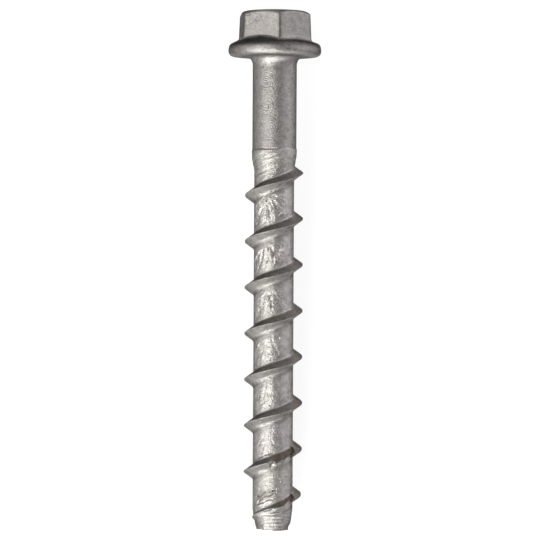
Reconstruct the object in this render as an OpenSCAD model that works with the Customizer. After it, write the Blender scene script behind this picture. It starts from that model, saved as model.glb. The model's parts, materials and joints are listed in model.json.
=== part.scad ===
// Heavy-duty concrete screw: flanged hex head, plain shank and a coarse self-tapping thread.
// It is forged and rolled as one piece. It lies where it comes to rest, on the rim of its
// flange and on the two thread teeth beside the lowest notch.
// Along the screw, z = 0 is the bearing face under the flange and +z is towards the head.
// Angles round the screw start on its upper side and grow towards +x. All sizes are millimetres.

/* [Head] */
// Width across the flats at the top of the hexagon
hex_flats = 14.3; // [12:0.1:16]
// Height of the head above the bearing face
head_h = 9.7; // [8:0.1:12]
// Slope of each flat, in degrees
hex_draft = 2.1; // [0.5:0.1:3.5]
// Turn of the hexagon about the screw, in degrees
hex_turn = 14; // [-30:1:30]
// How far the round flat on top stays inside the hexagon's flats
top_inset = 0.5; // [0.1:0.05:1.5]
// Slope of the chamfer round the top, in degrees
top_slope = 27; // [15:1:40]

/* [Flange] */
// Diameter of the flange
flange_d = 20; // [19:0.1:26]
// Radius of the rounded rim, above and below
rim_r = 1.1; // [0.5:0.05:1.3]
// Height of the straight band between the two roundings
rim_band = 0.65; // [0.2:0.05:1.5]
// Slope of the flange's upper side, in degrees
flange_slope = 20; // [8:1:30]

/* [Shank] */
// Length from the bearing face to the tip
screw_l = 101.6; // [75:0.1:160]
// Diameter of the plain shank
shank_d = 9.5; // [9:0.05:10.5]
// Length of the plain shank
shank_l = 20; // [5:0.5:35]
// Fillet under the head
head_fillet = 1.3; // [0.4:0.1:2]
// Diameter of the raised lap where the rolled part begins
lap_d = 9.68; // [9.55:0.01:11]
// Length of the lap, from the shank to its highest point
lap_l = 0.7; // [0.3:0.1:2]
// Length of the neck between the lap and the core
neck_l = 5; // [2:0.5:10]

/* [Thread] */
// Diameter of the core between the turns
core_d = 8.6; // [7.6:0.05:8.9]
// Diameter over the crests
thread_d = 12.5; // [11:0.1:14]
// Rise of one turn
pitch = 9.9; // [6:0.1:13]
// Angle between the two flanks, in degrees
flank_angle = 67; // [45:1:75]
// Width of the crest
crest_w = 0.16; // [0.08:0.02:0.6]
// Part of a turn over which the thread grows out of the neck
run_in = 0.5; // [0.25:0.05:1]
// Part of a turn over which it sinks away at the tip
run_out = 0.55; // [0.25:0.05:0.7]
// Distance from the end of the thread to the tip
end_gap = 2.4; // [2:0.1:5]

/* [Teeth] */
// Number of half turns that have a notch, counted from the tip
notch_count = 4; // [2:1:8]
// Arc that each notch takes out of the crest, in degrees
notch_arc = 54; // [30:2:80]
// Diameter over the floor of a notch
notch_d = 9.9; // [9.3:0.1:10.4]
// Angle from the end of the thread up to the middle of the first notch
first_notch = 113; // [90:1:150]

/* [Tip] */
// Length of the blunt taper at the tip
tip_l = 4.4; // [2:0.1:8]
// Diameter of the sheared end
tip_d = 6.8; // [5:0.1:8]
// Diameter where the taper steepens
tip_knee_d = 8.06; // [7.4:0.02:8.4]
// Length of the steep part of the taper
tip_knee_l = 2.2; // [0.8:0.1:3]

/* [Finish] */
// Straight steps in each turn of the thread
turn_steps = 48; // [36:12:72]
// Straight steps in a quarter of a small rounding
arc_steps = 6; // [4:1:10]

/* [Hidden] */
$fn = 96;

flange_r = flange_d / 2;
shank_r = shank_d / 2;
lap_r = lap_d / 2;
core_r = core_d / 2;
thread_r = thread_d / 2;
tip_r = tip_d / 2;

// The hexagon is measured at its top and grows by its draft down to where it leaves the flange.
hex_base_z = rim_r;
hex_top_r = hex_flats / 2 / cos(30);
hex_base_r = (hex_flats / 2 + (head_h - hex_base_z) * tan(hex_draft)) / cos(30);
top_r = hex_flats / 2 - top_inset;

// The ridge is sunk into the core, so that it grows out of it with no gap.
sunk = 0.4;
root_r = core_r - sunk;
least_ridge = 0.05;
end_z = -screw_l + end_gap;
turns = (-shank_l - end_z) / pitch;
end_angle = -first_notch;
notch_step = 180;

// The second notch is the lowest place at rest. The axis falls towards the tip, because the
// flange rim lies on the surface at one end and the two teeth beside that notch at the other.
foot_z = end_z + pitch * (first_notch + notch_step) / 360;
foot_r = thread_r * cos(notch_arc / 2);
rest_run = rim_r - foot_z;
rest_drop = flange_r - rim_r - foot_r;
rest_tilt = acos(-rim_r / norm([rest_run, rest_drop])) - atan2(rest_run, rest_drop);
rest_h = rim_r + (flange_r - rim_r) * cos(rest_tilt) - rim_r * sin(rest_tilt);
// The thread climbs from one of those teeth to the other, so a small turn levels them.
foot_half_w = thread_r * sin(notch_arc / 2);
foot_climb = pitch * notch_arc / 2 / 360;
rest_roll = atan(foot_climb * tan(rest_tilt) / foot_half_w);
reach_head = head_h * cos(rest_tilt) + top_r * sin(rest_tilt);
reach_tip = screw_l * cos(rest_tilt) + tip_r * sin(rest_tilt);

steel = [0.66, 0.66, 0.64];

// A point at a radius, an angle round the screw and a place along it
function around(r, angle, z) = [r * sin(angle), -r * cos(angle), z];

// Points of an arc about a centre, from one angle to another
function arc(centre, r, from, to) =
    [for (i = [0:arc_steps])
        let (a = from + (to - from) * i / arc_steps)
        centre + r * [cos(a), sin(a)]];

// Soft step from the lap down to the core, and t runs from 0 to 1
function neck(t) = core_r + (lap_r - core_r) * (1 + cos(180 * t)) / 2;

// Radius of the crest, b turns up from the end of the thread
function crest_at(b) =
    let (grown = max(0, min(1, b / run_out, (turns - b) / run_in)))
    root_r + least_ridge + (thread_r - root_r - least_ridge) * grown;

// Section of the ridge, b turns up from the end of the thread
function ridge_section(b) =
    let (
        crest = crest_at(b),
        angle = end_angle + 360 * b,
        z = end_z + pitch * b,
        half_base = crest_w / 2 + (crest - root_r) * tan(flank_angle / 2)
    )
    [around(root_r, angle, z - half_base), around(crest, angle, z - crest_w / 2),
     around(crest, angle, z + crest_w / 2), around(root_r, angle, z + half_base)];

// Hexagon with drafted flats and a chamfered top
module hexagon() {
    rotate([0, 0, hex_turn])
        translate([0, 0, hex_base_z])
            cylinder(h = head_h - hex_base_z, r1 = hex_base_r, r2 = hex_top_r, $fn = 6);
}

module top_chamfer() {
    rotate_extrude()
        polygon([[0, 0], [flange_r, 0], [flange_r, head_h - (flange_r - top_r) * tan(top_slope)],
                 [top_r, head_h], [0, head_h]]);
}

// Flange with a flat bearing face, a rounded rim and a sloping upper side
module flange() {
    lower = [flange_r - rim_r, rim_r];
    upper = lower + [0, rim_band];
    shoulder = upper + rim_r * [sin(flange_slope), cos(flange_slope)];
    rotate_extrude()
        polygon(concat([[0, 0]],
                       arc(lower, rim_r, -90, 0),
                       arc(upper, rim_r, 0, 90 - flange_slope),
                       [[0, shoulder.y + shoulder.x * tan(flange_slope)]]));
}

// Shank, lap, neck, core and blunt tip, turned about the axis
module shaft() {
    fillet_centre = [shank_r + head_fillet, -head_fillet];
    neck_steps = 2 * arc_steps;
    rotate_extrude()
        polygon(concat([[0, rim_r], [fillet_centre.x, rim_r]],
                       arc(fillet_centre, head_fillet, 90, 180),
                       [[shank_r, -shank_l]],
                       [for (i = [0:neck_steps])
                           [neck(i / neck_steps), -shank_l - lap_l - neck_l * i / neck_steps]],
                       [[core_r, -screw_l + tip_l], [tip_knee_d / 2, -screw_l + tip_knee_l],
                        [tip_r, -screw_l], [0, -screw_l]]));
}

// Right-hand ridge, swept along its helix section by section
module ridge() {
    sections = ceil(turns * turn_steps);
    rows = [for (i = [0:sections]) ridge_section(turns * i / sections)];
    sides = len(rows[0]);
    skin = [for (i = [0:sections - 1], k = [0:sides - 1])
        let (
            a = i * sides + k,
            b = i * sides + (k + 1) % sides
        )
        each [[a, b, b + sides], [a, b + sides, a + sides]]];
    first_cap = [for (k = [sides - 1:-1:0]) k];
    last_cap = [for (k = [0:sides - 1]) sections * sides + k];
    polyhedron(points = [for (row = rows) each row], faces = concat(skin, [first_cap, last_cap]));
}

// Arcs of the crest that are cut away, so that teeth are left between them
module notches() {
    for (i = [0:notch_count - 1]) {
        angle = notch_step * i;
        rotate([0, 0, angle - notch_arc / 2 - 90])
            translate([0, 0, end_z + pitch * (first_notch + angle) / 360 - pitch / 4])
                rotate_extrude(angle = notch_arc)
                    translate([notch_d / 2, 0])
                        square([thread_r, pitch / 2]);
    }
}

module toothed_thread() {
    difference() {
        ridge();
        notches();
    }
}

module upright_screw() {
    intersection() {
        hexagon();
        top_chamfer();
    }
    flange();
    shaft();
    toothed_thread();
}

module concrete_screw() {
    color(steel)
        translate([0, (reach_tip - reach_head) / 2, rest_h])
            rotate([rest_tilt - 90, 0, 0])
                rotate([0, 0, -rest_roll])
                    upright_screw();
}

concrete_screw();
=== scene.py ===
"""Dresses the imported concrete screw: a skin with its forging and rolling marks, a galvanised
finish, a pale floor, soft light and a camera that looks down on it as the photograph does."""
import json
import math

import bmesh
import bpy
import numpy as np
from mathutils import Matrix, Vector, noise


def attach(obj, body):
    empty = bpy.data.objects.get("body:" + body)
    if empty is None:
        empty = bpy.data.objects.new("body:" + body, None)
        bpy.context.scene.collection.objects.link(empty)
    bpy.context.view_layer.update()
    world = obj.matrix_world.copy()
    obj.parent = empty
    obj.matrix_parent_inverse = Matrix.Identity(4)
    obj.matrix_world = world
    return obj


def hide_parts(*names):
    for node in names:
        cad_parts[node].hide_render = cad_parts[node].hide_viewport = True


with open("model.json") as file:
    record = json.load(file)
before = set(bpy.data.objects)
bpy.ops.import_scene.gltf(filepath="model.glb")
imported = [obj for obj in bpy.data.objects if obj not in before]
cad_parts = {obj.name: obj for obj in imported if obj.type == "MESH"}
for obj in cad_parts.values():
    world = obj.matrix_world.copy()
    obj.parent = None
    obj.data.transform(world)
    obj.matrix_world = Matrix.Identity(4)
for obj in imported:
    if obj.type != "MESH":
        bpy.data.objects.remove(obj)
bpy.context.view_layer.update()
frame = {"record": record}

# Driving sizes of the screw, in millimetres and degrees, as the solid has them.
# Along the screw, z = 0 is the bearing face under the flange and +z is towards the head.
# Angles round the screw start on its upper side and grow towards +X.
MM = 0.001
HEX_FLATS = 14.3
HEAD_H = 9.7
HEX_DRAFT = math.radians(2.1)
HEX_CORNER = -16.0
TOP_INSET = 0.5
TOP_SLOPE = math.radians(27)
FLANGE_R = 10.0
RIM_R = 1.1
RIM_BAND = 0.65
FLANGE_SLOPE = math.radians(20)
SCREW_L = 101.6
SHANK_R = 4.75
SHANK_L = 20.0
LAP_R = 4.84
LAP_L = 0.7
NECK_L = 5.0
CORE_R = 4.3
THREAD_R = 6.25
PITCH = 9.9
HALF_FLANK = math.radians(33.5)
RIDGE_SUNK = 0.4
TURNS = 8.0
RUN_IN = 0.5
RUN_OUT = 0.55
END_GAP = 2.4
END_Z = -SCREW_L + END_GAP
FIRST_NOTCH = 113.0
NOTCH_STEP = 180.0
NOTCH_ARC = 54.0
NOTCH_COUNT = 4
TIP_L = 4.4
TIP_R = 3.4
TIP_KNEE_R = 4.03
TIP_KNEE_L = 2.2

# Sizes that are the skin's own: forged and worn edges, the thread's trailing end in turns,
# the degrees that a notch cuts in under the next tooth, and how far the sheared end reaches
HEAD_FILLET = 1.8
CORNER_ROUND = 0.6
EDGE_ROUND = 0.35
CREST_W = 0.09
END_TRAIL = 0.1
NOTCH_UNDERCUT = 17.0
TIP_OVERRUN = 0.2

# The photograph's front lies this far round from the upper side.
PHOTO_FRONT = -23.0

# Columns round the screw: a whole number to each side of the hexagon
SIDE_ANGLE = 60.0
SIDE_COLUMNS = 24
COLUMNS = 6 * SIDE_COLUMNS
STEP = 360.0 / COLUMNS
# The skin's helical strip starts on a column just above the start of the thread.
START_COLUMN = 106
START_ANGLE = HEX_CORNER + START_COLUMN * STEP
WHOLE_TURNS = 7
START_TURN = (START_ANGLE + WHOLE_TURNS * 360.0 + FIRST_NOTCH) / 360.0
STRIP_COLUMNS = math.ceil(START_TURN * COLUMNS)

# Where the screw lies: its axis comes from the bearing face that the record states.
seat = next(m for m in frame["record"]["mounts"] if m["name"] == "bearing_face")
SEAT = Vector(seat["pos_m"])
AXIS = -Vector(seat["axis"]).normalized()
ACROSS = Vector((1, 0, 0))
UPPER = ACROSS.cross(AXIS)
TILT = math.asin(AXIS.z)
TOOTH_HALF_W = THREAD_R * math.sin(math.radians(NOTCH_ARC / 2))
TOOTH_CLIMB = PITCH * NOTCH_ARC / 2 / 360
REST_ROLL = math.degrees(math.atan(TOOTH_CLIMB * math.tan(TILT) / TOOTH_HALF_W))


def place(r, angle, z):
    """World points, in metres, from radius, angle and place along the screw."""
    turn = np.radians(angle - REST_ROLL)
    points = np.outer(r * np.sin(turn), ACROSS) + np.outer(r * np.cos(turn), UPPER)
    return np.array(SEAT) + MM * (points + np.outer(z, AXIS))


def photo_angle(angle):
    """Angle from the photograph's front, from -180 to 180, positive to its right."""
    return (angle - PHOTO_FRONT + 180.0) % 360.0 - 180.0


def smooth_step(low, high, x):
    """0 at the low end and 1 at the high end, with soft ends."""
    t = np.clip((x - low) / (high - low), 0, 1)
    return t * t * (3 - 2 * t)


def band(x, start, full, fade, stop):
    """1 between full and fade, sinking to 0 at start and stop."""
    return smooth_step(start, full, x) * smooth_step(stop, fade, x)


def bell(x, width):
    return np.exp(-((x / width) ** 2))


def smooth_max(a, b, blend):
    """The larger of two heights, with a round inner corner between them."""
    h = np.clip(0.5 + 0.5 * (a - b) / blend, 0, 1)
    return b + (a - b) * h + blend * h * (1 - h)


def grain(x, y, z, seed):
    """Gradient noise from about -1 to 1 at each point."""
    points = zip(np.ravel(x), np.ravel(y), np.ravel(z))
    values = [noise.noise(Vector((a, b, c + seed))) for a, b, c in points]
    return np.array(values).reshape(np.shape(x))


def sheet_grain(x, y, seed):
    return grain(x, y, np.zeros_like(x), seed)


def line_grain(x, seed):
    return sheet_grain(x, np.zeros_like(x), seed)


def ring_grain(angle, wavelength, seed):
    """Noise round the screw that closes on itself, with a wavelength in degrees."""
    size = 360.0 / wavelength / (2 * math.pi)
    turn = np.radians(angle)
    return sheet_grain(size * np.sin(turn), size * np.cos(turn), seed)


def facets(x, y, seed):
    """Flat facets, each tilted its own way, with how near each point is to a facet's edge."""
    height = np.zeros(len(x))
    edge = np.zeros(len(x))
    for i, point in enumerate(zip(x, y, seed)):
        distance, centre = noise.voronoi(Vector(point))
        tilt_x = noise.cell(centre[0] * 17.3) - 0.5
        tilt_y = noise.cell(centre[0] * 31.9) - 0.5
        slope = tilt_x * (x[i] - centre[0].x) + tilt_y * (y[i] - centre[0].y)
        height[i] = slope - 0.45 * distance[0]
        edge[i] = distance[1] - distance[0]
    return height, edge


# What each point of the skin tells the finish, by column
# The crease values paint shade, tinted brown, and the tone values paint light and shade.
CREASE = 0
ROLLED = 1
TONE = 2
GROOVE = slice(3, 5)
FAN = slice(5, 8)
SCUFF = 8
FLAT = 9
LOOK_VALUES = 10

# Head: each column's outline runs from the middle of the top down to the shank.
TOP_R = HEX_FLATS / 2 - TOP_INSET
TOP_MIDDLE_R = 0.2
TOP_PEAK = HEAD_H + TOP_R * math.tan(TOP_SLOPE)
HALF_SIDE = math.radians(SIDE_ANGLE / 2)
SHOULDER = np.array([FLANGE_R - RIM_R + RIM_R * math.sin(FLANGE_SLOPE),
                     RIM_R + RIM_BAND + RIM_R * math.cos(FLANGE_SLOPE)])
BROW_Z = SHOULDER[1] - (FLANGE_R - SHOULDER[0]) * math.tan(FLANGE_SLOPE)

# Beside the flats the flange is forged out of true. Its slope, in degrees, is steeper at the
# photograph's left front and about level on the flat behind that, and all of it leans a little.
FOOT_SLOPE = 22.0
FOOT_STEEPER = 6.0
LEVEL_ANGLE = -90.0
LEVEL_WIDTH = 26.0
FOOT_RISE = 0.3
FOOT_LEAN = 0.3
LEAN_ANGLE = -83.0
CORNER_R = 8.4
CORNER_Z = SHOULDER[1] + (SHOULDER[0] - CORNER_R) * math.tan(FLANGE_SLOPE) + FOOT_RISE
# Rounding at the hexagon's foot, and what is added to it away from the left front
FOOT_ROUND = 0.2
FOOT_WEAR = 0.4

# Rows of the skin on each stretch of the head's outline, and how far the columns crowd to the corners
TOP_ROWS = 8
CHAMFER_ROWS = 2
FLAT_ROWS = 15
SLOPE_ROWS = 6
RIM_ROWS = 10
UNDER_RIM_ROWS = 9
BEARING_ROWS = 6
FILLET_ROWS = 10
SHANK_ROWS = 30
SHANK_END_ROWS = 8
SHANK_END_L = 1.0
CROWDING = 1.8
CROWD_FADE_ROWS = 14


def left_front(angle):
    """1 on the flat at the photograph's left front, where the foot is sharp and painted darker, 0 far from
    it.
    """
    return band(photo_angle(angle), -74, -50, 6, 22)


def foot_slope(angle):
    """Slope of the flange beside the flats."""
    level = bell(photo_angle(angle) - LEVEL_ANGLE, LEVEL_WIDTH)
    return np.radians(FOOT_SLOPE + FOOT_STEEPER * left_front(angle) - FOOT_SLOPE * level)


def foot_peak(angle):
    """Height at the axis of the slope beside the flats."""
    lean = FOOT_LEAN * np.cos(np.radians(photo_angle(angle) - LEAN_ANGLE))
    return CORNER_Z + CORNER_R * np.tan(foot_slope(angle)) + lean


def hex_radius(from_corner, z):
    """Radius of the round-cornered hexagon, at an angle from its nearest corner."""
    flat = HEX_FLATS / 2 + (HEAD_H - z) * math.tan(HEX_DRAFT)
    off = np.radians(np.abs(from_corner))
    centre = (flat - CORNER_ROUND) / math.cos(HALF_SIDE)
    round_end = np.arctan2(CORNER_ROUND / 2, centre + CORNER_ROUND * math.cos(HALF_SIDE))
    side = flat / np.cos(HALF_SIDE - off)
    inside = np.maximum(CORNER_ROUND ** 2 - (centre * np.sin(off)) ** 2, 0)
    corner = centre * np.cos(off) + np.sqrt(inside)
    return np.where(off < round_end, corner, side)


def meet(from_corner, peak, slope):
    """Radius and height where a cone, given by its height at the axis and its slope, meets the hexagon."""
    z = np.full_like(from_corner, HEAD_H / 2)
    for _ in range(6):
        z = peak - hex_radius(from_corner, z) * np.tan(slope)
    return hex_radius(from_corner, z), z


def curve(start, corner, stop, count):
    """Rows of a curve that leaves two rows towards the corner between them."""
    rows = []
    for t in np.linspace(0, 1, count):
        rows.append((1 - t) ** 2 * start + 2 * t * (1 - t) * corner + t * t * stop)
    return rows


def bend(a, corner, b, size, count):
    """Points of a soft corner between two straight stretches, one row per point."""
    def along(end):
        gap = end - corner
        length = np.maximum(np.linalg.norm(gap, axis=1, keepdims=True), 1e-9)
        return corner + gap / length * np.minimum(size, 0.45 * length)
    return curve(along(a), corner, along(b), count)


def level_row(radius, z):
    """A row with the same radius and height in every column."""
    return np.tile([radius, z], (COLUMNS, 1))


def arc_rows(centre_r, centre_z, size, start, stop, count):
    """Rows of an arc about a centre, from one angle to another."""
    rows = []
    for angle in np.radians(np.linspace(start, stop, count)):
        rows.append(level_row(centre_r + size * math.cos(angle), centre_z + size * math.sin(angle)))
    return rows


def straight(a, b, count):
    """Rows between two rows, both ends left out."""
    return [a + (b - a) * t for t in np.linspace(0, 1, count + 2)[1:-1]]


def head_angles(weight):
    """Angle of each column, crowded towards the hexagon's corners by the weight."""
    index = np.arange(COLUMNS)
    half = SIDE_ANGLE / 2
    place_in_side = (START_COLUMN - index) % SIDE_COLUMNS / SIDE_COLUMNS
    from_corner = np.where(place_in_side > 0.5, place_in_side - 1, place_in_side) * SIDE_ANGLE
    crowded = np.sign(from_corner) * half * (np.abs(from_corner) / half) ** CROWDING
    shift = weight * (crowded - from_corner)
    return START_ANGLE - index * STEP + shift, from_corner + shift


def head_rows():
    """Angle, radius and height of every row from the top's middle to the start of the strip."""
    angle, from_corner = head_angles(1.0)
    middle = level_row(TOP_MIDDLE_R, HEAD_H)
    top = level_row(TOP_R, HEAD_H)
    edge = np.stack(meet(from_corner, TOP_PEAK, TOP_SLOPE), 1)
    foot = np.stack(meet(from_corner, foot_peak(angle), foot_slope(angle)), 1)
    foot_round = FOOT_ROUND + FOOT_WEAR * (1 - left_front(angle))[:, None]
    shoulder = np.tile(SHOULDER, (COLUMNS, 1))
    bends = ((TOP_ROWS, bend(middle, top, edge, EDGE_ROUND, 4)),
             (CHAMFER_ROWS, bend(top, edge, foot, EDGE_ROUND, 5)),
             (FLAT_ROWS, bend(edge, foot, shoulder, foot_round, 6)))
    rows = [middle]
    for count, bent in bends:
        rows += straight(rows[-1], bent[0], count)
        rows += bent
    hex_rows = len(rows)

    rows += straight(rows[-1], shoulder, SLOPE_ROWS)
    rows += curve(shoulder, level_row(FLANGE_R, BROW_Z), level_row(FLANGE_R, RIM_R), RIM_ROWS)
    rows += arc_rows(FLANGE_R - RIM_R, RIM_R, RIM_R, 0, -90, UNDER_RIM_ROWS)[1:]
    rows += straight(rows[-1], level_row(SHANK_R + HEAD_FILLET, 0.0), BEARING_ROWS)
    rows += arc_rows(SHANK_R + HEAD_FILLET, -HEAD_FILLET, HEAD_FILLET, 90, 180, FILLET_ROWS)
    shank_end = crest_z(START_TURN)
    coarse = np.linspace(-HEAD_FILLET, shank_end + SHANK_END_L, SHANK_ROWS)[1:]
    fine = np.linspace(shank_end + SHANK_END_L, shank_end, SHANK_END_ROWS)[1:]
    rows += [level_row(SHANK_R, z) for z in np.concatenate([coarse, fine])]

    angles = []
    for j in range(len(rows)):
        weight = 1.0 - smooth_step(hex_rows, hex_rows + CROWD_FADE_ROWS, float(j))
        angles.append(head_angles(weight)[0])
    return np.array(angles), np.array(rows)


# Tone of the head: what is taken from it or added to it on each of its parts. The chamfer and the flange's
# slope get painted shade, and the flange, the flats and the corners are made darker. The foot of the flats,
# the rim, its underside, the fillet and the left flat get painted light.
CHAMFER_DARK = 0.35
FLANGE_DARK = 0.1
SIDE_DARK = 0.15
CORNER_DARK = 0.42
# painted shade on the flange's slope and at the left front's foot
HEX_FOOT_PAINTED_SHADE = 0.2
SLOPE_PAINTED_SHADE = 0.6
LEFT_PAINTED_SHADE_LESS = 0.1
# painted light at the foot of the flats away from the left front
FOOT_LIGHT = 1.5
UNDER_RIM_LIGHT = 0.6
FILLET_LIGHT = 0.45
RIM_LIGHT = 0.35
LEFT_FLAT_LIGHT = 0.14


def slope_painted_shade(angle, near, above_foot, z, mottle):
    """Painted shade on the flange's slope and at the foot of the left front, with painted light instead at
    the foot of the other flats.
    """
    dark_front = left_front(angle)
    on_slope = smooth_step(0.2, 0.0, above_foot) * smooth_step(SHOULDER[1] - 1.5, SHOULDER[1] - 0.3, z)
    outer = smooth_step(0.1, 0.9, near + 0.4 * mottle)
    # painted shade: at the left front's foot, and more further out on the slope
    slope_shade = HEX_FOOT_PAINTED_SHADE * dark_front + (SLOPE_PAINTED_SHADE - LEFT_PAINTED_SHADE_LESS * dark_front) * outer
    # painted light where the foot of the other flats meets the slope
    lit_foot = smooth_step(0.02, -0.1, above_foot) * bell(near - 0.2, 0.75) * (1 - dark_front)
    return on_slope * (slope_shade - FOOT_LIGHT * lit_foot)


def head_look(angle, radius, z):
    """Tone of the head as painted shade and light, how scuffed it is, and where its flats are."""
    from_corner = (angle - HEX_CORNER + SIDE_ANGLE / 2) % SIDE_ANGLE - SIDE_ANGLE / 2
    _, edge_z = meet(from_corner, TOP_PEAK, TOP_SLOPE)
    foot_r, foot_z = meet(from_corner, foot_peak(angle), foot_slope(angle))
    turn = np.radians(angle)
    mottle = sheet_grain(radius * np.sin(turn) * 0.8, radius * np.cos(turn) * 0.8, 3.0)
    front = photo_angle(angle)
    rim_inside = FLANGE_R - 2 * RIM_R

    chamfer = smooth_step(TOP_R - 0.3, TOP_R + 0.1, radius) * smooth_step(-0.35, 0.0, z - edge_z)
    on_side = smooth_step(0.0, 0.3, z - foot_z) * smooth_step(TOP_R + 0.1, TOP_R + 0.4, radius)
    on_side = on_side * (1 - chamfer)
    corner = on_side * bell(np.radians(from_corner) * radius, 0.38)
    on_flange = smooth_step(foot_z + 0.2, foot_z, z) * (z > -0.01)
    # masks for painted light under the rim, in the fillet and on the rim's front, and for the left flat's
    # painted highlight
    under_rim = smooth_step(0.4, 0.1, z) * smooth_step(rim_inside - 1.0, rim_inside, radius)
    fillet = smooth_step(0.02, -0.2, z) * bell(front + 10.0, 28.0)
    rim = band(z, 0.1, 0.5, 1.6, 2.4) * bell(front + 20.0, 20.0)
    left_flat = on_side * band(front, -56, -50, 4, 10)

    # painted shade on the chamfer and the flange's slope, and the flange, flats and corners made darker;
    # painted light under the rim, in the fillet, on the rim and on the left flat
    dark = CHAMFER_DARK * chamfer + FLANGE_DARK * on_flange + SIDE_DARK * on_side + CORNER_DARK * corner
    dark = dark + slope_painted_shade(angle, radius - foot_r, z - foot_z, z, mottle)
    light = UNDER_RIM_LIGHT * under_rim + FILLET_LIGHT * fillet + RIM_LIGHT * rim
    tone = 1 - dark + light + LEFT_FLAT_LIGHT * left_flat

    upper_left = smooth_step(-8, -40, front) * smooth_step(4.5, 8.0, z)
    rim_patch = bell(front - 18.0, 18.0) * smooth_step(1.0, 2.0, z) * on_flange
    scuff = left_flat * (0.35 + 0.65 * upper_left) + rim_patch
    return tone, scuff, on_side


# Shaft: radius of the turned body, then the ridge of the thread and the marks left by rolling
LAP_STEP = 0.2
LAP_STEP_ANGLE = 12.0
LAP_WAVE = 0.06
LAP_RISE_L = 0.35


def crest_z(turn):
    """Place of the crest, a number of turns up from the thread's end."""
    return END_Z + PITCH * turn


def lap_line(angle):
    """Where the rolled part laps over the shank: one shallow step on the front, one behind."""
    side = np.sin(np.radians(photo_angle(angle) - LAP_STEP_ANGLE))
    wave = LAP_WAVE * np.sin(np.radians(5 * angle))
    return -SHANK_L + LAP_STEP * (1 + np.tanh(4 * side)) + wave


def body_radius(angle, z):
    """Radius of the shank, lap, neck, core and tip."""
    below = lap_line(angle) - z
    t = np.clip((below - LAP_L) / NECK_L, 0, 1)
    neck = CORE_R + (LAP_R - CORE_R) * (1 + np.cos(np.pi * t)) / 2
    lap = SHANK_R + (LAP_R - SHANK_R) * smooth_step(0.0, LAP_RISE_L, below)
    radius = np.where(below < LAP_L, lap, neck)
    from_tip = z + SCREW_L
    knee = np.interp(from_tip, [0, TIP_KNEE_L, TIP_L], [TIP_R, TIP_KNEE_R, CORE_R])
    return np.minimum(radius, np.where(from_tip < TIP_L, knee, radius))


def nearest_crest(angle, z):
    """Turn of the nearest crest, and how far the point lies above it."""
    base = (angle + FIRST_NOTCH) / 360.0
    turn = base + np.round((z - crest_z(base)) / PITCH)
    return turn, z - crest_z(turn)


def groove_place(angle, z):
    """Place in the groove: turns up from the thread's end, and depth below the crest above."""
    base = (angle + FIRST_NOTCH) / 360.0
    turn = base + np.ceil((z - crest_z(base)) / PITCH - 1e-6)
    return turn, crest_z(turn) - z


# Ends of a notch, in degrees from its middle, how soft they are, and how far above the crest line
# the ramp in a notch rises out of the core
NOTCH_LOW_END = -NOTCH_ARC / 2
NOTCH_LOW_SOFT = 4.5
NOTCH_HIGH_END = NOTCH_ARC / 2 + NOTCH_UNDERCUT
NOTCH_HIGH_SOFT = 2.0
RAMP_FOOT = 1.45
RAMP_H = 1.0
RAMP_LOWER_SLOPE = 2.2
LEAST_GROWTH = 0.3


def notch_offset(turn):
    """Degrees from the middle of the nearest notch, and whether the thread has that notch."""
    along = turn * 360.0 - FIRST_NOTCH
    index = np.round(along / NOTCH_STEP)
    return along - NOTCH_STEP * index, (index >= 0) & (index < NOTCH_COUNT)


def notch_share(turn):
    """1 in the middle of a notch, 0 on a tooth. At its upper end the notch cuts in under the tooth."""
    off, real = notch_offset(turn)
    low = smooth_step(NOTCH_LOW_END - NOTCH_LOW_SOFT, NOTCH_LOW_END + NOTCH_LOW_SOFT, off)
    high = smooth_step(NOTCH_HIGH_END + NOTCH_HIGH_SOFT, NOTCH_HIGH_END - NOTCH_HIGH_SOFT, off)
    return low * high * real


def tooth_lean(turn, radius):
    """How far a tooth leans over the notch below it, in degrees."""
    off, real = notch_offset(turn)
    end = NOTCH_HIGH_END
    beside = band(off, end - 3, end + 1, end + 4, end + 34) * real
    return -NOTCH_UNDERCUT * beside * np.clip((radius - CORE_R) / (THREAD_R - CORE_R), 0, 1)


def thread_growth(turn):
    """1 where the thread has its full height, falling to 0 at its run-in and run-out."""
    from_end = (turn + END_TRAIL) / (RUN_OUT + END_TRAIL)
    from_start = (TURNS - turn) / RUN_IN
    return np.clip(np.minimum(from_end, from_start), 0, 1)


def ramp_edge(turn):
    """The ragged lower edge of a notch's ramp, against the crest line."""
    off, _ = notch_offset(turn)
    bowl = 0.8 * smooth_step(-12, -30, off) + 1.2 * smooth_step(0, 36, off) - 0.5
    ragged = 0.2 * line_grain(turn * 26, 5.7) + 0.15 * line_grain(turn * 70, 7.7)
    return (bowl - ragged) * np.maximum(thread_growth(turn), LEAST_GROWTH)


def ramp_foot(turn):
    """Where the ramp in a notch rises out of the core, against the crest line."""
    return RAMP_FOOT * np.maximum(thread_growth(turn), LEAST_GROWTH)


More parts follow.
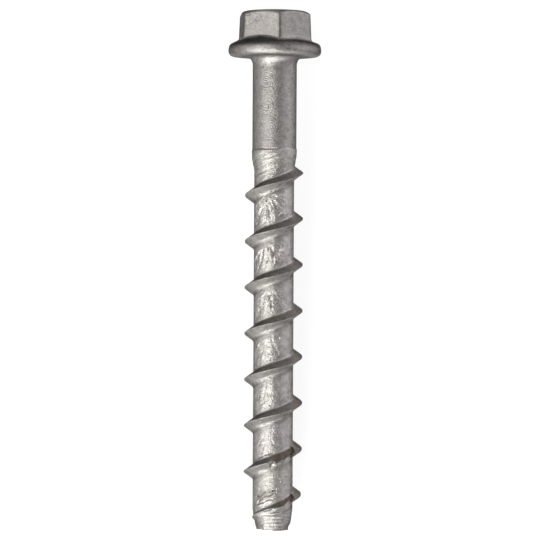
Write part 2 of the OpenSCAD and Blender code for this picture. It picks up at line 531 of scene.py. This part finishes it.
def ridge_radius(turn, above):
    """Radius of the thread's ridge beside a crest, with its run-in, run-out and notches."""
    nick = 0.03 * line_grain(turn * 32, 3.7) + 0.3 * np.maximum(line_grain(turn * 40, 8.7) - 0.4, 0)
    grown = thread_growth(turn)
    root = CORE_R - RIDGE_SUNK
    crest = root + (THREAD_R - root) * grown - nick * grown
    full = crest - np.maximum(np.abs(above) - CREST_W / 2, 0) / math.tan(HALF_FLANK)
    # a notch leaves a low ramp that faces the head, with a ragged edge and a steep lower side,
    # and a narrow slot beside the next tooth up
    off, _ = notch_offset(turn)
    slot = smooth_step(NOTCH_HIGH_END - 9, NOTCH_HIGH_END - 4, off)
    stub = np.minimum(crest, CORE_R + RAMP_H * grown) + 0.12 * line_grain(turn * 60, 3.7)
    stub = stub * (1 - slot) + root * slot
    edge = ramp_edge(turn)
    upper = stub - np.maximum(above - edge, 0) * (stub - CORE_R) / (ramp_foot(turn) - edge)
    lower = upper - np.maximum(edge - above, 0) * RAMP_LOWER_SLOPE
    share = notch_share(turn)
    return full * (1 - share) + np.minimum(full, lower) * share


# The rolling dies leave a fan of dents twice a turn. Fans are counted upwards from the thread's end,
# and they are deepest under the first turns below the shank. Every other fan is weaker.
FAN_ANGLE = PHOTO_FRONT - 20.0
FAN_STEP = 180.0
FAN_COUNT = 14
FAN_WIDTH = 4.0
FAN_PLACES = [-1, 0, 2, 4, 6, 8, 12, 14]
FAN_STRENGTHS = [0, 1.0, 0.95, 0.8, 0.62, 0.5, 0.32, 0.2]
FAN_OTHER = 0.5
FAN_LEAST = 0.003
FAN_APART = 20.0


def fan_dents(side, out, across, reach, seed):
    """Height of the dents in a fan: tilted facets and streaks that spread from its pivot."""
    sway = grain(side * 0.7, out * 0.5, seed, 0.4)
    plate, edge = facets(across / 0.75 + 0.3 * sway, reach / 2.6 + 0.3 * sway, seed)
    streak = np.abs(grain(across + 0.3 * sway, reach * 0.28, seed, 9.1))
    return 0.2 * (plate + 0.3) - 0.012 * bell(edge, 0.1) + 0.11 * (0.3 - streak)


def rolled_fans(groove, depth):
    """Height of the fans of dents, and for the finish their own place across, along and how strong."""
    unrolled = groove * 360.0 - FIRST_NOTCH - FAN_ANGLE
    fan = np.round(unrolled / FAN_STEP)
    side = np.radians(unrolled - FAN_STEP * fan) * CORE_R
    from_first = FAN_COUNT - fan
    strength = np.interp(from_first, FAN_PLACES, FAN_STRENGTHS)
    strength = np.where(fan % 2 == 0, strength, FAN_OTHER * strength)
    waver = 0.5 * sheet_grain(depth * 0.9, side * 0.4, 9.0)
    arch = np.interp(from_first, [0, 2], [2.0, 3.0]) + 0.07 * side ** 2
    within = smooth_step(FAN_WIDTH + 0.3, FAN_WIDTH - 0.4, np.abs(side + waver))
    within = within * smooth_step(arch - 0.25, arch + 0.25, depth) * smooth_step(8.1, 6.9, depth)
    pivot = np.interp(from_first, [0, 2, 4], [0.8, -0.3, -1.5])
    out = np.maximum(depth - pivot, 0.3)
    across = np.arctan2(side, out) * 5.0
    reach = np.hypot(side, out)
    height = np.zeros_like(depth)
    marked = within * strength > FAN_LEAST
    if marked.any():
        height[marked] = fan_dents(side[marked], out[marked], across[marked], reach[marked],
                                   3.1 * fan[marked])
    inner = smooth_step(FAN_WIDTH, FAN_WIDTH - 1.5, np.abs(side))
    lip = 0.06 * bell(depth - arch, 0.3) * inner * strength
    fan_place = np.stack([across, reach + FAN_APART * fan, within * strength], -1)
    return height * within * strength + lip, fan_place


def neck_wrinkles(angle, along, depth, below):
    """Wrinkles below the lap, which run with the thread."""
    facing = 0.3 + 0.7 * band(photo_angle(angle), -140, -95, 8, 30)
    zone = band(below, 0.1, 0.5, 5.0, 8.0)
    sway = sheet_grain(along * 0.5, depth * 0.5, 7.7)
    ripple = sheet_grain(depth * 1.3 + 0.35 * sway, along * 0.1, 4.4)
    fine = sheet_grain(depth * 2.7 + 0.3 * sway, along * 0.3, 2.1)
    folds = 0.13 * (np.abs(ripple) - 0.2) - 0.05 * bell(ripple, 0.1) - 0.035 * bell(fine, 0.12)
    return folds * zone * facing


def foot_lip(along, depth):
    """Lip along the lower foot of each turn, with a crease under it."""
    off = depth - 2.05 - 0.25 * line_grain(along * 0.45, 6.1)
    broken = smooth_step(-0.3, 0.25, line_grain(along * 0.3, 8.3))
    return (0.05 * bell(off + 0.45, 0.4) - 0.05 * bell(off, 0.16)) * broken


def notch_lip(turn, above, along):
    """Metal pushed up over the foot of a tooth beside its notch, with a crease behind it."""
    off, real = notch_offset(turn)
    beside = band(off, -85, -65, -30, -18) * real
    wave = above - 1.75 - 0.3 * line_grain(along * 0.5, 2.6)
    return (0.15 * bell(wave + 0.25, 0.26) - 0.17 * bell(wave - 0.12, 0.14)) * beside


# Depth and noise seed of each torn lap
TORN_LAPS = ((6.2, 1.9), (7.1, 5.3))


def torn_laps(angle, groove, along, depth):
    """Torn laps above the last turn: ragged lips that run with the thread, each with a crease under it."""
    facing = 0.3 + 0.7 * band(photo_angle(angle), -85, -65, 55, 75)
    laps = np.zeros_like(depth)
    for middle, seed in TORN_LAPS:
        jagged = 0.6 * line_grain(along * 0.45, seed) + 0.35 * line_grain(along * 1.6, seed + 3)
        off = depth - middle - jagged
        broken = smooth_step(-0.1, 0.2, line_grain(along * 0.4, seed + 7))
        lip = 0.15 * np.exp(np.minimum(off, 0) / 0.45)
        hollow = -0.2 * np.exp(-np.maximum(off, 0) / 0.3)
        laps = laps + np.where(off < 0, lip, hollow) * broken
    return laps * smooth_step(2.0, 1.6, groove) * facing


def tip_marks(angle, z):
    """Turned rings and dents at the tip."""
    turn = np.radians(angle)
    x = CORE_R * np.sin(turn)
    y = CORE_R * np.cos(turn)
    from_tip = z + SCREW_L
    lumps = 0.035 * smooth_step(5.0, 1.5, from_tip) * grain(x * 0.6, y * 0.6, z * 0.8, 6.2)
    rings = 0.13 * smooth_step(4.8, 3.4, from_tip) * grain(x * 0.12, y * 0.12, z * 2.0, 3.3)
    return lumps + rings


# Tone of the shaft against the shank, and how creased its dark parts are. The rolled core is brighter,
# partly brighter zinc and partly a painted highlight, and its fans a little brighter. The upper flanks, the
# notch ramps and the foot of each turn get painted shade; the lower flanks, the upper flanks' right side
# and the notches' end walls get painted light; the crease values paint shade, tinted brown.
ROLLED_TONE = 1.33
UPPER_FLANK_PAINTED_SHADE = 0.78
RIGHT_FLANK_PAINTED_LIGHT = 0.4
LOWER_FLANK_PAINTED_LIGHT = 1.35
RAMP_PAINTED_SHADE = 0.5
FAN_TONE = 0.12
TURN_FOOT_PAINTED_SHADE = 0.45
WALL_PAINTED_LIGHT = 0.7
FLANK_CREASE = 0.35
RAMP_CREASE = 0.8
SLOT_CREASE = 1.5

# Round inner corners at the two feet of the thread, and the cut along the lap
UPPER_ROOT = 0.25
LOWER_ROOT = 0.65
LAP_CUT = 0.1


def notch_look(turn, above, tone, crease):
    """Tone and creases in the notches: painted shade on the ramp, a painted highlight on the end wall of
    the lower tooth and painted shade in the slot beside the upper one."""
    off, _ = notch_offset(turn)
    share = notch_share(turn)
    foot = ramp_foot(turn)
    ramp = share * smooth_step(-0.08, 0.04, above - ramp_edge(turn)) * smooth_step(foot, foot - 0.25, above)
    tone = tone * (1 - ramp) + RAMP_PAINTED_SHADE * ramp
    crease = crease * (1 - ramp) + RAMP_CREASE * ramp
    wall = 4 * share * (1 - share) * smooth_step(2.0, 1.2, np.abs(above))
    lit = (off < 0) * smooth_step(0.2, 0.0, above) * smooth_step(0.5, 0.9, thread_growth(turn))
    return tone + WALL_PAINTED_LIGHT * wall * lit, crease + SLOT_CREASE * wall * (off > 0)


def shaft_skin(angle, z):
    """Radius at each point of the shaft, with its marks, the lean of its teeth and its look values."""
    turn, above = nearest_crest(angle, z)
    groove, depth = groove_place(angle, z)
    along = np.radians(groove * 360.0) * CORE_R
    below = lap_line(angle) - z
    from_tip = z + SCREW_L
    front = photo_angle(angle)
    body = body_radius(angle, z)
    upper = above > CREST_W / 4
    radius = smooth_max(ridge_radius(turn, above), body, np.where(upper, UPPER_ROOT, LOWER_ROOT))
    on_core = smooth_step(0.4, 0.0, radius - body)

    fans, fan_place = rolled_fans(groove, depth)
    marks = fans + neck_wrinkles(angle, along, depth, below)
    marks = marks + foot_lip(along, depth) * smooth_step(0.5, 2.0, below)
    marks = (marks + torn_laps(angle, groove, along, depth) + tip_marks(angle, z)) * on_core
    marks = marks + notch_lip(turn, above, along) * smooth_step(0.9, 0.4, radius - body)
    lap_cut = -LAP_CUT * bell(below - 0.02, 0.075) * (0.25 + 0.75 * band(front, -75, -60, 8, 20))
    x = radius * np.sin(np.radians(angle))
    y = radius * np.cos(np.radians(angle))
    uneven = 0.006 * grain(x * 0.5, y * 0.5, z * 0.35, 1.5)

    # painted shade, tinted brown: in the deepest dents, along the lap cut and on the upper flanks
    crease = 0.8 * np.clip((-marks - 0.07) / 0.1, 0, 1) + np.clip(-lap_cut / 0.08, 0, 1)
    crease = crease + FLANK_CREASE * upper * (1 - on_core)
    on_rolled = on_core * smooth_step(0.1, 0.5, below)
    # the rolled core is brighter, partly brighter zinc and partly a painted highlight; the fans a little
    # brighter
    core_tone = 1 + (ROLLED_TONE - 1) * on_rolled * smooth_step(0.5, 3.5, from_tip)
    core_tone = core_tone + FAN_TONE * fan_place[..., 2]
    # painted shade in the root under each turn of the thread
    core_tone = core_tone - TURN_FOOT_PAINTED_SHADE * bell(depth - 1.9, 0.5) * thread_growth(groove)
    # painted shade on the upper flanks, with painted light on their right side, and painted light on the
    # lower flanks
    right_painted_light = 1 + RIGHT_FLANK_PAINTED_LIGHT * band(front, 30, 70, 120, 170)
    flank_tone = np.where(upper, UPPER_FLANK_PAINTED_SHADE * right_painted_light, LOWER_FLANK_PAINTED_LIGHT)
    tone = core_tone * on_core + flank_tone * (1 - on_core)
    tone, crease = notch_look(turn, above, tone, crease)

    look = np.zeros((*np.shape(z), LOOK_VALUES))
    look[..., CREASE] = np.clip(crease, 0, 1)
    look[..., ROLLED] = on_rolled * smooth_step(2.5, 4.5, from_tip)
    look[..., TONE] = tone
    look[..., GROOVE] = np.stack([along, depth], -1)
    look[..., FAN] = fan_place
    return radius + marks + lap_cut + uneven, tooth_lean(turn, radius), look


# Rows of the helical strip on each flank, at the thread's foot and on the groove's floor
FLANK_ROWS = 7
FOOT_STEPS = (0.15, 0.32)
FLOOR_ROWS = 38


def strip_depths():
    """Depths below a crest at which the strip has rows, from one crest to the next."""
    crest = CREST_W / 2
    flank = (THREAD_R - CORE_R) * math.tan(HALF_FLANK) + crest
    upper = [0.0, *np.linspace(crest, flank, FLANK_ROWS), *(flank + step for step in FOOT_STEPS)]
    floor = np.linspace(upper[-1], PITCH - upper[-1], FLOOR_ROWS)[1:-1]
    lower = [PITCH - depth for depth in reversed(upper)]
    return np.array([*upper, *floor, *lower])


def grid_faces(start, rows, columns, closed):
    """Quads over a grid of rows and columns that starts at a vertex."""
    faces = []
    for j in range(rows - 1):
        for i in range(columns if closed else columns - 1):
            a = start + j * columns + i
            b = start + j * columns + (i + 1) % columns
            faces.append((a, a + columns, b + columns, b))
    return faces


def head_patch():
    """Head and shank, from the middle of the top to the start of the strip."""
    angle, rows = head_rows()
    radius = rows[:, :, 0].copy()
    z = rows[:, :, 1].copy()
    look = np.zeros((*z.shape, LOOK_VALUES))
    look[..., TONE], look[..., SCUFF], look[..., FLAT] = head_look(angle, radius, z)
    on_shaft = z < -HEAD_FILLET - 0.01
    radius[on_shaft], _, look[on_shaft] = shaft_skin(angle[on_shaft], z[on_shaft])
    return angle, radius, z, look, True


def strip_patches(turn):
    """Strip along the thread, a pitch wide, with a wedge at each end that levels it."""
    top = crest_z(turn[0])
    bottom = crest_z(turn[-1])
    first = turn[:COLUMNS + 1]
    between = turn[:STRIP_COLUMNS - COLUMNS + 1]
    last = turn[STRIP_COLUMNS - COLUMNS:]
    depth = strip_depths()[:, None]
    spans = ((first, top - depth / PITCH * (top - crest_z(first))),
             (between, crest_z(between) - depth),
             (last, crest_z(last) - depth / PITCH * (crest_z(last) - bottom)))
    for turns, z in spans:
        angle = np.tile(turns * 360.0 - FIRST_NOTCH, (len(depth), 1))
        radius, lean, look = shaft_skin(angle, z)
        yield angle + lean, radius, z + PITCH * lean / 360.0, look, False


# The sheared end: rows above it, its slant and raggedness, and rings across it as shares of its radius
TIP_ROWS = 17
TIP_EDGE = 0.15
TIP_SLANT = 0.14
TIP_RAGGED_L = 1.0
TIP_HOLLOW = 0.1
TIP_CREASE = 0.35
TIP_RINGS = (0.96, 0.9, 0.75, 0.55, 0.35, 0.15, 0.05)


def tip_patch(angle, top):
    """The blunt tip below the thread, with a ragged sheared end."""
    end = -SCREW_L - TIP_OVERRUN
    heights = np.concatenate([np.linspace(top, end + TIP_EDGE, TIP_ROWS), [end]])
    z = np.tile(heights[:, None], (1, COLUMNS))
    radius, _, look = shaft_skin(np.tile(angle, (len(heights), 1)), z)
    slant = TIP_SLANT * (1 - np.sin(np.radians(photo_angle(angle))))
    ragged = slant + 0.2 * ring_grain(angle, 30, 1.0) + 0.1 * ring_grain(angle, 11, 2.0)
    z = z + smooth_step(end + TIP_RAGGED_L, end, z) * np.maximum(ragged, -0.05)
    rings = []
    ring_heights = []
    for share in TIP_RINGS:
        ring = radius[-1] * share
        x = ring * np.sin(np.radians(angle))
        y = ring * np.cos(np.radians(angle))
        rough = 0.1 * sheet_grain(x * 1.1, y * 1.1, 8.0) + 0.05 * sheet_grain(x * 3.0, y * 0.8, 2.0)
        rim = smooth_step(0.5, 1.0, share)
        rings.append(ring)
        ring_heights.append(rim * (z[-1] - 0.06) + (1 - rim) * (end + TIP_HOLLOW + rough))
    sheared = np.zeros((len(rings), COLUMNS, LOOK_VALUES))
    sheared[..., CREASE] = TIP_CREASE
    sheared[..., TONE] = 1.0
    radius = np.vstack([radius, *rings])
    z = np.vstack([z, *ring_heights])
    return np.tile(angle, (len(z), 1)), radius, z, np.concatenate([look, sheared]), True


def skin_patches():
    """The patches of the skin: angle, radius and height grids, their look values and whether they close."""
    turn = START_TURN - np.arange(STRIP_COLUMNS + 1) / COLUMNS
    yield head_patch()
    yield from strip_patches(turn)
    yield tip_patch(turn[-COLUMNS:] * 360.0 - FIRST_NOTCH, crest_z(turn[-1]))


# Vertices nearer than the first gap, in metres, are joined, and edges shorter than the second dissolved.
JOIN_GAP = 3e-6
SHORT_EDGE = 1e-7
SHARP_ANGLE = math.radians(38)


def add_look(mesh, values):
    """Gives each vertex its look values, under the names that the finish reads."""
    columns = (("crease", CREASE), ("rolled", ROLLED), ("tone", TONE), ("scuff", SCUFF), ("flat", FLAT))
    for name, column in columns:
        layer = mesh.attributes.new(name, "FLOAT", "POINT")
        layer.data.foreach_set("value", values[:, column].copy())
    groove = mesh.attributes.new("groove", "FLOAT_VECTOR", "POINT")
    groove.data.foreach_set("vector", np.insert(values[:, GROOVE], 2, 0.0, axis=1).ravel())
    fan = mesh.attributes.new("fan", "FLOAT_VECTOR", "POINT")
    fan.data.foreach_set("vector", values[:, FAN].copy().ravel())


def close_mesh(mesh):
    """Joins the patches of the mesh into one closed skin."""
    shell = bmesh.new()
    shell.from_mesh(mesh)
    bmesh.ops.remove_doubles(shell, verts=shell.verts, dist=JOIN_GAP)
    bmesh.ops.dissolve_degenerate(shell, edges=shell.edges, dist=SHORT_EDGE)
    caps = [face for face in shell.faces if len(face.verts) > 4]
    bmesh.ops.triangulate(shell, faces=caps)
    bmesh.ops.recalc_face_normals(shell, faces=shell.faces)
    shell.to_mesh(mesh)
    shell.free()
    for polygon in mesh.polygons:
        polygon.use_smooth = True
    mesh.set_sharp_from_angle(angle=SHARP_ANGLE)


def screw_skin():
    """One closed mesh of the whole screw."""
    verts = []
    faces = []
    looks = []
    rings = []
    count = 0
    for angle, radius, z, look, closed in skin_patches():
        rows, columns = z.shape
        verts.append(place(radius, angle, z))
        looks.append(look.reshape(-1, LOOK_VALUES))
        faces += grid_faces(count, rows, columns, closed)
        if closed:
            rings.append((count, count + (rows - 1) * columns))
        count += rows * columns
    head, tip = rings
    faces.append(tuple(head[0] + i for i in reversed(range(COLUMNS))))
    faces.append(tuple(tip[1] + i for i in range(COLUMNS)))
    mesh = bpy.data.meshes.new("screw_skin")
    mesh.from_pydata(np.vstack(verts).tolist(), [], faces)
    add_look(mesh, np.vstack(looks).astype(np.float32))
    close_mesh(mesh)
    piece = bpy.data.objects.new("screw_skin", mesh)
    bpy.context.scene.collection.objects.link(piece)
    return piece


# Materials
class Nodes:
    """Short way to add and link shader nodes."""

    def __init__(self, tree):
        self.tree = tree

    def add(self, kind, inputs=None, **settings):
        made = self.tree.nodes.new("ShaderNode" + kind)
        for name, value in settings.items():
            setattr(made, name, value)
        for name, value in (inputs or {}).items():
            if isinstance(value, bpy.types.NodeSocket):
                self.tree.links.new(value, made.inputs[name])
            else:
                made.inputs[name].default_value = value
        return made

    def attribute(self, name, output="Fac"):
        return self.add("Attribute", attribute_name=name).outputs[output]

    def noise(self, vector, scale, detail, roughness=0.5):
        inputs = {"Vector": vector, "Scale": scale, "Detail": detail, "Roughness": roughness}
        return self.add("TexNoise", inputs).outputs["Fac"]

    def ramp(self, factor, stops):
        made = self.add("ValToRGB", {"Fac": factor})
        elements = made.color_ramp.elements
        while len(elements) < len(stops):
            elements.new(0.5)
        for element, (position, colour) in zip(elements, stops):
            element.position = position
            element.color = (*colour, 1) if isinstance(colour, tuple) else (colour, colour, colour, 1)
        return made.outputs["Color"]

    def mix(self, factor, a, b, blend="MIX"):
        inputs = {"Factor": factor, "A": a, "B": b}
        return self.add("Mix", inputs, data_type="RGBA", blend_type=blend).outputs["Result"]

    def multiply(self, a, b):
        return self.mix(1.0, a, b, "MULTIPLY")

    def calculate(self, operation, *values):
        return self.add("Math", dict(enumerate(values)), operation=operation).outputs["Value"]

    def bump(self, strength, depth, height, normal=None, invert=False):
        inputs = {"Strength": strength, "Distance": depth, "Height": height}
        if normal is not None:
            inputs["Normal"] = normal
        return self.add("Bump", inputs, invert=invert).outputs["Normal"]


def new_material(name):
    material = bpy.data.materials.new(name)
    material.use_nodes = True
    material.node_tree.nodes.clear()
    return material, Nodes(material.node_tree)


# Zinc: how many grains its patterns have to the metre
BLOTCH_SCALE = 900.0
SPECK_SCALE = 3200.0
TINT_SCALE = 150.0
PIT_SCALE = 1500.0
SCUFF_SCALE = 2300.0
# Stretch of the strokes in the fans and of the peel in the grooves, which have places of their own
STROKE_STRETCH = (2.2, 0.55, 1.0)
PEEL_STRETCH = (1.5, 1.2, 1.0)
# Relief
PEEL_DEPTH = 0.028 * MM
STROKE_DEPTH = 0.09 * MM
PIT_DEPTH = 0.06 * MM
GRAIN_DEPTH = 0.16 * MM
GRAIN_STRENGTH = 0.8
# The hexagon's flats are even: their grain is shallower and their sheen a little softer.
FLAT_GRAIN_LESS = 0.5
FLAT_ROUGHER = 0.06
FAN_SMOOTHER = 0.08
SCUFF_COLOUR = (0.04, 0.037, 0.035, 1)
METALLIC = 0.82
SPECULAR = 0.05


def zinc_material():
    """Mechanically galvanised steel: matte, mottled grey with fine grain and pits, with painted shade in
    its creases, tinted brown, and the painted light and shade of each place's tone.
    """
    material, n = new_material("zinc")
    point = n.add("TexCoord").outputs["Object"]
    blotch = n.noise(point, BLOTCH_SCALE, 5.0, 0.6)
    speck = n.noise(point, SPECK_SCALE, 3.0, 0.6)
    tint = n.noise(point, TINT_SCALE, 3.0)
    base = n.ramp(blotch, [(0.3, (0.15, 0.145, 0.141)), (0.5, (0.188, 0.184, 0.18)),
                           (0.7, (0.218, 0.218, 0.21))])
    fine = n.ramp(speck, [(0.3, 0.84), (0.5, 1.0), (0.75, 1.05)])
    hue = n.ramp(tint, [(0.35, (1.0, 0.97, 0.99)), (0.65, (0.995, 1.0, 0.965))])
    colour = n.multiply(n.multiply(base, fine), hue)

    # sparse pits of uneven shape, more of them in some places
    crowd = n.calculate("MULTIPLY_ADD", tint, 0.12, -0.06)
    hollows = n.calculate("ADD", n.noise(point, PIT_SCALE, 2.0), crowd)
    pit = n.ramp(hollows, [(0.67, 0.0), (0.75, 1.0)])
    colour = n.multiply(colour, n.ramp(pit, [(0.0, 1.0), (1.0, 0.5)]))

    # dark scuffs, mostly on one flat of the head
    scraped = n.ramp(n.noise(point, SCUFF_SCALE, 0.0), [(0.55, 0.0), (0.72, 0.6)])
    scuffs = n.calculate("MULTIPLY", scraped, n.attribute("scuff"))
    colour = n.mix(scuffs, colour, SCUFF_COLOUR)

    # painted shade in the creases, tinted brown, and each place's tone of painted light and shade
    crease = n.ramp(n.attribute("crease"), [(0.0, 1.0), (1.0, (0.62, 0.505, 0.42))])
    colour = n.multiply(colour, crease)
    toned = n.add("VectorMath", {0: colour, "Scale": n.attribute("tone")}, operation="SCALE")

    # fans of dents are burnished and have fine strokes of their own
    fan = n.add("SeparateXYZ", {"Vector": n.attribute("fan", "Vector")}).outputs
    fan_place = n.add("CombineXYZ", {"X": fan["X"], "Y": fan["Y"]}).outputs["Vector"]
    stroke_place = n.add("Mapping", {"Vector": fan_place, "Scale": STROKE_STRETCH}).outputs["Vector"]
    groove = n.attribute("groove", "Vector")
    peel_place = n.add("Mapping", {"Vector": groove, "Scale": PEEL_STRETCH}).outputs["Vector"]
    flat = n.attribute("flat")
    rough = n.ramp(speck, [(0.3, 0.3), (0.7, 0.44)])
    rough = n.calculate("MULTIPLY_ADD", fan["Z"], -FAN_SMOOTHER, rough)
    rough = n.calculate("MULTIPLY_ADD", flat, FLAT_ROUGHER, rough)

    normal = n.bump(n.attribute("rolled"), PEEL_DEPTH, n.noise(peel_place, 1.0, 3.0, 0.55))
    normal = n.bump(fan["Z"], STROKE_DEPTH, n.noise(stroke_place, 1.0, 2.0), normal)
    normal = pressed_rings(n, point, normal)
    normal = n.bump(1.0, PIT_DEPTH, pit, normal, invert=True)
    grain_strength = n.calculate("MULTIPLY_ADD", flat, -FLAT_GRAIN_LESS, GRAIN_STRENGTH)
    normal = n.bump(grain_strength, GRAIN_DEPTH, n.calculate("ADD", speck, blotch), normal)
    shader = n.add("BsdfPrincipled", {"Base Color": toned.outputs["Vector"], "Roughness": rough,
                                      "Normal": normal, "Metallic": METALLIC,
                                      "Specular IOR Level": SPECULAR, "Specular Tint": (0.0, 0.0, 0.0, 1)})
    n.add("OutputMaterial", {"Surface": shader.outputs["BSDF"]})
    return material


# A faint patch of pressed rings on the shank
RINGS_ANGLE = PHOTO_FRONT - 24.0
RINGS_Z = -6.1
RINGS_SIZE = 2.4
RINGS_EVEN = 0.4 * RINGS_SIZE
RINGS_GAP = 0.45
RINGS_DEPTH = 0.018 * MM


def pressed_rings(n, point, normal):
    """Adds the rings to a normal. They fade towards the edge of their patch."""
    centre = place(np.array([SHANK_R]), np.array([RINGS_ANGLE]), np.array([RINGS_Z]))[0]
    distance = n.add("VectorMath", {0: point, 1: tuple(centre)}, operation="DISTANCE").outputs["Value"]
    phase = n.calculate("MULTIPLY", distance, 2 * math.pi / (RINGS_GAP * MM))
    fade = n.add("MapRange", {"Value": distance, "From Min": RINGS_EVEN * MM,
                              "From Max": RINGS_SIZE * MM, "To Min": 1.0, "To Max": 0.0})
    return n.bump(fade.outputs["Result"], RINGS_DEPTH, n.calculate("SINE", phase), normal)


FLOOR_GREY = 0.25
FLOOR_GLOW = 0.72


def floor_material():
    """Matte floor that the camera, mirrors and glass see as white, with the object's shadow on it."""
    material, n = new_material("floor_pale")
    shader = n.add("BsdfDiffuse", {"Color": (FLOOR_GREY, FLOOR_GREY, FLOOR_GREY, 1)})
    path = n.add("LightPath").outputs
    seen = n.calculate("MAXIMUM", path["Is Camera Ray"], path["Is Glossy Ray"])
    seen = n.calculate("MAXIMUM", seen, path["Is Transmission Ray"])
    strength = n.calculate("MULTIPLY", seen, FLOOR_GLOW)
    glow = n.add("Emission", {"Color": (1, 1, 1, 1), "Strength": strength})
    both = n.add("AddShader", {0: shader.outputs["BSDF"], 1: glow.outputs["Emission"]})
    n.add("OutputMaterial", {"Surface": both.outputs["Shader"]})
    return material


# The photograph's frame, in its pixels: its size, the scale, the row of the bearing face, the axis's
# column at mid-height and the camera's distance. The screw leans a little in it.
PHOTO_SIZE = 540
PX_PER_MM = 4.6457
SEAT_ROW = 56.7
AXIS_COLUMN = 273.7
CAMERA_PX = 3046.0
LEAN = math.radians(0.3)

FRONT_TURN = math.radians(PHOTO_FRONT - REST_ROLL)
TOWARDS = (ACROSS * math.sin(FRONT_TURN) + UPPER * math.cos(FRONT_TURN)).normalized()
SIDE = AXIS.cross(TOWARDS)
RIGHT = SIDE * math.cos(LEAN) + AXIS * math.sin(LEAN)
UP = AXIS * math.cos(LEAN) - SIDE * math.sin(LEAN)
MIDDLE = PHOTO_SIZE / 2
TARGET = (SEAT - AXIS * ((MIDDLE - SEAT_ROW) / PX_PER_MM * MM)
          - RIGHT * ((AXIS_COLUMN - MIDDLE) / PX_PER_MM * MM))


def aim(thing, location, target, up):
    """Puts a camera or lamp at a place, facing the target."""
    back = (location - target).normalized()
    right = up.cross(back).normalized()
    turn = Matrix((right, back.cross(right), back)).transposed()
    thing.matrix_world = Matrix.Translation(location) @ turn.to_4x4()


def add_camera():
    data = bpy.data.cameras.new("camera")
    data.sensor_fit = "HORIZONTAL"
    data.angle = 2 * math.atan(MIDDLE / CAMERA_PX)
    data.clip_start = 0.01
    camera = bpy.data.objects.new("camera", data)
    bpy.context.scene.collection.objects.link(camera)
    aim(camera, TARGET + TOWARDS * (CAMERA_PX / PX_PER_MM * MM), TARGET, UP)
    bpy.context.scene.camera = camera


# Past this share upwards a lamp counts as past the screw's end.
END_SHARE = 0.8
WORLD_GREY = 0.1
KEY_COLOUR = (1.0, 0.985, 0.95)


def add_lamp(name, to, distance, size, level, colour):
    """Soft lamp, placed by its shares to the camera's right, up and towards it. Level 1 lights a white
    face to white. Its height runs along the screw, or towards the camera where it is past the end."""
    data = bpy.data.lights.new(name, "AREA")
    data.shape = "RECTANGLE"
    data.size, data.size_y = size
    data.energy = level * (math.pi * distance) ** 2
    data.color = colour
    lamp = bpy.data.objects.new(name, data)
    bpy.context.scene.collection.objects.link(lamp)
    right, up, towards = to
    direction = (RIGHT * right + UP * up + TOWARDS * towards).normalized()
    aim(lamp, TARGET + direction * distance, TARGET, UP if abs(up) < END_SHARE else TOWARDS)


def add_light():
    add_lamp("key", to=(-0.57, -0.1, 0.82), distance=0.8, size=(0.6, 0.8), level=1.42, colour=KEY_COLOUR)
    add_lamp("key_low", to=(-0.341, -0.766, 0.545), distance=0.8, size=(0.5, 0.6), level=1.75,
             colour=KEY_COLOUR)
    add_lamp("fill", to=(0.79, 0.52, 0.25), distance=0.9, size=(1.0, 1.0), level=1.0,
             colour=(1.0, 0.95, 0.99))
    add_lamp("side", to=(0.95, 0.1, -0.05), distance=0.9, size=(0.3, 1.0), level=0.28,
             colour=(1.0, 0.96, 0.99))
    add_lamp("low", to=(0.35, -0.88, 0.3), distance=0.9, size=(0.9, 0.5), level=0.68,
             colour=(1.0, 1.0, 0.97))
    add_lamp("head_end", to=(0.0, 0.95, 0.2), distance=0.9, size=(0.9, 0.5), level=0.55,
             colour=(1.0, 0.98, 0.97))
    world = bpy.data.worlds.new("world")
    world.use_nodes = True
    background = world.node_tree.nodes["Background"]
    background.inputs["Color"].default_value = (WORLD_GREY, WORLD_GREY, WORLD_GREY, 1)
    bpy.context.scene.world = world


# Floor, in metres
FLOOR_INNER_R = 0.5
FLOOR_R = 4.0
FLOOR_SIDES = 64
COVE_R = 0.3
COVE_TOP = 0.6


def add_floor():
    """Round floor that turns up at its edge, so that low views end on the same pale surface."""
    profile = [(FLOOR_INNER_R, 0.0), (FLOOR_R - COVE_R, 0.0)]
    for turn in np.radians(np.linspace(15, 90, 6)):
        profile.append((FLOOR_R - COVE_R * (1 - math.sin(turn)), COVE_R * (1 - math.cos(turn))))
    profile.append((FLOOR_R, COVE_TOP))
    verts = [(0.0, 0.0, 0.0)]
    for radius, height in profile:
        for turn in np.arange(FLOOR_SIDES) * 2 * math.pi / FLOOR_SIDES:
            verts.append((radius * math.cos(turn), radius * math.sin(turn), height))
    faces = [(0, 1 + i, 1 + (i + 1) % FLOOR_SIDES) for i in range(FLOOR_SIDES)]
    faces += [tuple(reversed(face)) for face in grid_faces(1, len(profile), FLOOR_SIDES, True)]
    mesh = bpy.data.meshes.new("floor")
    mesh.from_pydata(verts, [], faces)
    mesh.materials.append(floor_material())
    floor = bpy.data.objects.new("floor", mesh)
    bpy.context.scene.collection.objects.link(floor)


skin = screw_skin()
skin.data.materials.append(zinc_material())
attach(skin, "root")
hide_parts("concrete_screw")

add_floor()
add_light()
add_camera()
bpy.context.scene.view_settings.view_transform = "Standard"

bpy.context.view_layer.update()
